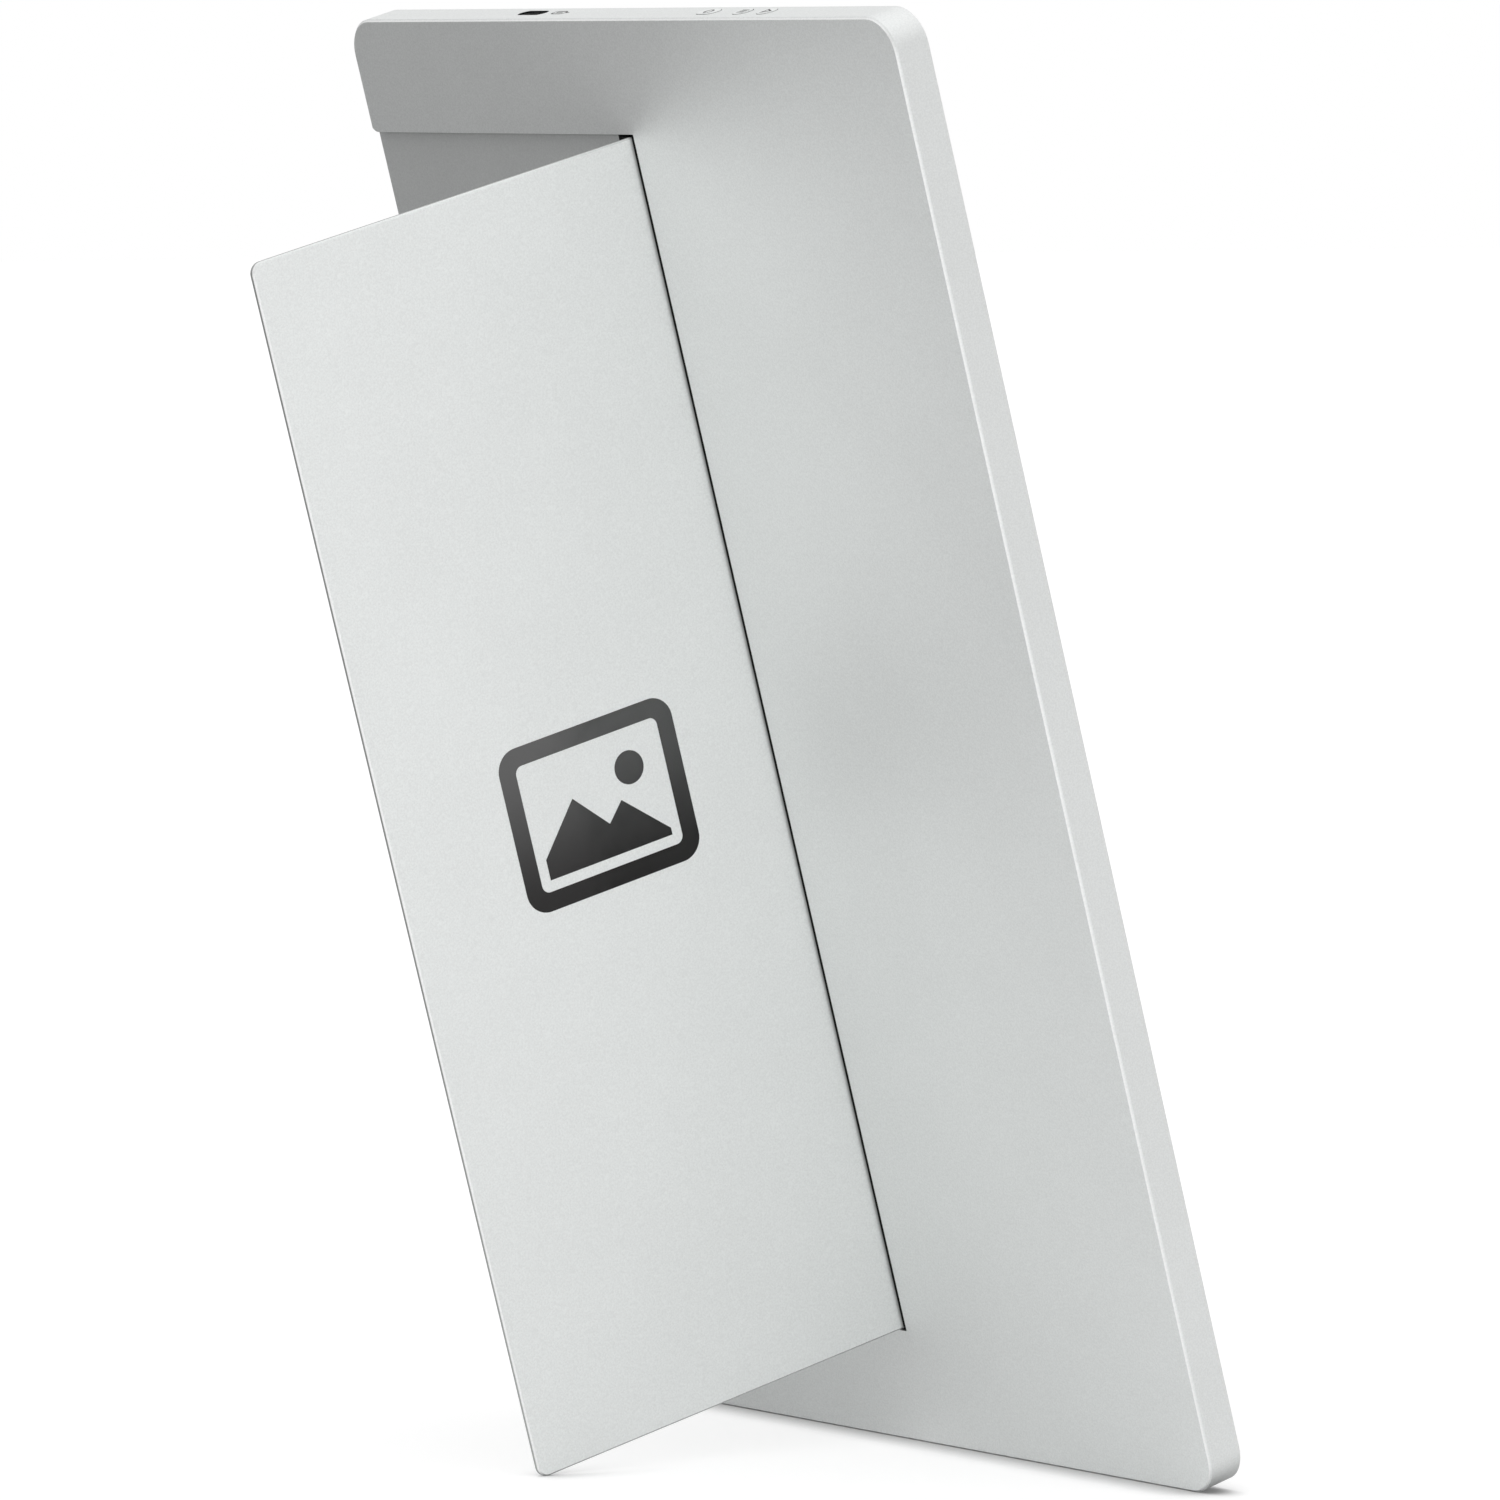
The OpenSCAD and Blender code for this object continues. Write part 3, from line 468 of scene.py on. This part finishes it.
def plated_metal(name, color, roughness):
    """Plated or rolled steel, with fine lines along the slab."""
    material, tree, shader = new_material(name)
    place = add_node(tree, "ShaderNodeTexCoord").outputs["Object"]
    stretch = {"Vector": place, "Scale": (1.0, 0.15, 0.05)}
    stretched = add_node(tree, "ShaderNodeMapping", stretch).outputs[0]
    lines = noise(tree, stretched, 0.25 * MM, 4.0, 0.6)
    base = shaded(tree, fixed_color(tree, color), varied(tree, lines, 0.9, 1.0))
    tree.links.new(base, shader.inputs["Base Color"])
    tree.links.new(varied(tree, lines, roughness - 0.06, roughness + 0.06), shader.inputs["Roughness"])
    shader.inputs["Metallic"].default_value = 1.0
    add_bump(tree, shader, lines, 0.01 * MM, 0.1)
    return material


# ---- Glass, plastic and film --------------------------------------------------------------------

BORDER_BLACK = (0.0025, 0.0025, 0.003)
DISPLAY_BLACK = (0.012, 0.013, 0.017)
GLASS_IOR = 1.52
GLASS_SPECULAR = 0.28


def cover_glass():
    """Glossy glass: black print round the picture area, and the switched-off display behind it."""
    material, tree, shader = new_material("cover_glass")
    place = add_node(tree, "ShaderNodeTexCoord").outputs["Object"]
    across = maths(tree, "SUBTRACT", level_along(tree, place, ACROSS), middle("cover_glass", ACROSS))
    up = maths(tree, "SUBTRACT", level_along(tree, place, UP), middle("cover_glass", UP))
    wide = inside(tree, across, -PICTURE_W / 2, PICTURE_W / 2, 2 * EDGE)
    tall = inside(tree, up, -PICTURE_H / 2, PICTURE_H / 2, 2 * EDGE)
    picture = maths(tree, "MULTIPLY", wide, tall)
    haze = noise(tree, place, 40 * MM, 3.0)
    color = mixed(tree, picture, BORDER_BLACK, DISPLAY_BLACK)
    color = shaded(tree, color, varied(tree, haze, 0.9, 1.0))
    tree.links.new(color, shader.inputs["Base Color"])
    tree.links.new(varied(tree, haze, 0.05, 0.09), shader.inputs["Roughness"])
    shader.inputs["IOR"].default_value = GLASS_IOR
    shader.inputs["Specular IOR Level"].default_value = GLASS_SPECULAR
    return material


def moulded(name, color, roughness, grain_size=0.3 * MM):
    """Moulded plastic, printed circuit or film: a fine grain in its tone, its gloss and its surface."""
    material, tree, shader = new_material(name)
    place = add_node(tree, "ShaderNodeTexCoord").outputs["Object"]
    grain = noise(tree, place, grain_size, 3.0, 0.6)
    base = shaded(tree, fixed_color(tree, color), varied(tree, grain, 0.85, 1.0))
    tree.links.new(base, shader.inputs["Base Color"])
    tree.links.new(varied(tree, grain, roughness - 0.08, roughness + 0.08), shader.inputs["Roughness"])
    add_bump(tree, shader, grain, 0.03 * MM, 0.2)
    return material


def dress_nodes():
    """Gives every CAD node the material of its slot in the record."""
    by_slot = {
        "silver_aluminium": shell_metal(),
        "stand_aluminium": stand_metal(),
        "button_aluminium": key_metal(),
        "dark_mirror": dark_mirror(),
        "dark_glass": cover_glass(),
        "black_foam": moulded("foam_tape", (0.02, 0.02, 0.02), 0.85, 0.2 * MM),
        "black_plastic": moulded("black_plastic", (0.018, 0.018, 0.019), 0.5),
        "screw_steel": plated_metal("screw_steel", (0.55, 0.55, 0.56), 0.3),
        "hinge_steel": plated_metal("hinge_steel", (0.42, 0.42, 0.43), 0.36),
        "plated_steel": plated_metal("plated_steel", (0.22, 0.22, 0.22), 0.4),
        "spring_bronze": plated_metal("spring_bronze", (0.60, 0.38, 0.22), 0.3),
        "display_cell": moulded("display_cell", (0.03, 0.035, 0.05), 0.2, 0.1 * MM),
        "clear_film": moulded("clear_film", (0.80, 0.84, 0.86), 0.25, 0.1 * MM),
        "white_film": moulded("white_film", (0.85, 0.85, 0.85), 0.6, 0.15 * MM),
        "led_strip": moulded("led_strip", (0.80, 0.68, 0.30), 0.45, 0.4 * MM),
        "circuit_board": moulded("circuit_board", (0.02, 0.14, 0.06), 0.4, 0.6 * MM),
        "polyimide": moulded("polyimide", (0.62, 0.28, 0.05), 0.3, 0.5 * MM),
        "ribbon": moulded("ribbon", (0.80, 0.80, 0.78), 0.5, 0.5 * MM),
        "chip_plastic": moulded("chip_plastic", (0.02, 0.02, 0.02), 0.55, 0.15 * MM),
        "connector_plastic": moulded("connector_plastic", (0.78, 0.74, 0.62), 0.5),
        "soft_pad": moulded("soft_pad", (0.30, 0.34, 0.40), 0.8, 0.4 * MM),
    }
    for part in frame["record"]["subparts"]:
        materials = frame["nodes"][part["node"]].data.materials
        materials.clear()
        materials.append(by_slot[part["material_slot"]])


# ---- Printed symbols on the top end -------------------------------------------------------------

PRINT_HEIGHT = 0.015 * MM
STROKE = 0.44 * MM
PLUG_OFFSET = 9.6 * MM  # from the middle of the inlet to the middle of its symbol


def arc(centre, radius, start, end, steps=24):
    """Points on a circle, from one angle to another, in degrees."""
    angles = [math.radians(start + (end - start) * i / steps) for i in range(steps + 1)]
    return [(centre[0] + radius * math.cos(a), centre[1] + radius * math.sin(a)) for a in angles]


def stroke_sides(points, width, closed):
    """The two edges of a line of constant width through some points, with its corners mitred."""
    path = [Vector(p) for p in points]
    count = len(path)
    left, right = [], []
    for i, point in enumerate(path):
        before = path[i - 1] if i or closed else None
        after = path[(i + 1) % count] if i < count - 1 or closed else None
        pairs = [(a, b) for a, b in ((before, point), (point, after)) if a is not None and b is not None]
        ways = [(b - a).normalized() for a, b in pairs]
        normals = [Vector((-w.y, w.x)) for w in ways]
        mitre = sum(normals, Vector((0, 0))).normalized()
        reach = width / 2 / mitre.dot(normals[0])
        left.append(point + mitre * reach)
        right.append(point - mitre * reach)
    return left, right


def stroke_solid(centre, points, closed):
    """Corners and faces of one flat stroke through points in mm, about a point of the top end."""
    left, right = stroke_sides([(x * MM, y * MM) for x, y in points], STROKE, closed)
    count = len(left)
    up = 2 * count
    corners = []
    for height in (0, PRINT_HEIGHT):
        corners += [centre + ACROSS * p.x + OUT * p.y + UP * height for p in left + right]
    faces = []
    for a in range(count if closed else count - 1):
        b = (a + 1) % count
        c, d = a + count, b + count
        faces += [(a, c, d, b), (a + up, b + up, d + up, c + up)]
        faces += [(a, b, b + up, a + up), (c, c + up, d + up, d)]
    if not closed:
        last = count - 1
        faces.append((0, up, up + count, count))
        faces.append((last, last + count, last + up + count, last + up))
    return corners, faces


def add_symbol(name, body, centre, strokes):
    """Prints strokes, each (points, closed), round a point of the top end, and gives them to a body."""
    verts, faces = [], []
    for points, closed in strokes:
        corners, sides = stroke_solid(centre, points, closed)
        start = len(verts)
        faces += [tuple(start + corner for corner in side) for side in sides]
        verts += corners
    mesh = bpy.data.meshes.new(name)
    mesh.from_pydata(verts, [], faces)
    mesh.validate()
    symbol = bpy.data.objects.new(name, mesh)
    bpy.context.scene.collection.objects.link(symbol)
    mesh.materials.append(bpy.data.materials["etched_grey"])
    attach(symbol, body)


def key_face(node):
    """The middle of a key's outer face."""
    return slab_point(middle(node, ACROSS), span(node, UP)[1], middle(node, OUT))


def add_symbols():
    """Power, menu and select on the keys, and a plug beside the inlet. Points are in mm."""
    moulded("etched_grey", (0.05, 0.05, 0.05), 0.6, 0.2 * MM)
    add_symbol("power_symbol", "power_key", key_face("power_button"), [
        (arc((0, 0), 1.05, 125, 415), False),
        ([(0, 0.35), (0, 1.45)], False),
    ])
    add_symbol("menu_symbol", "menu_key", key_face("menu_button"), [
        ([(-1.15, y), (1.15, y)], False) for y in (-0.8, 0, 0.8)
    ])
    add_symbol("select_symbol", "select_key", key_face("select_button"), [
        ([(-0.8, -1.1), (1.15, 0), (-0.8, 1.1)], True),
    ])
    beside = middle("usb_c_shell", ACROSS) + PLUG_OFFSET
    plug = slab_point(beside, TOP_LEVEL, middle("usb_c_tongue", OUT))
    add_symbol("inlet_symbol", "frame", plug, [
        (arc((-1.2, 0), 0.95, 90, 270) + arc((1.2, 0), 0.95, -90, 90), True),
        ([(-1.1, 0), (1.1, 0)], False),
        ([(2.3, 0), (3.4, 0)], False),
    ])


add_camera()
add_stage()
dress_nodes()
add_symbols()
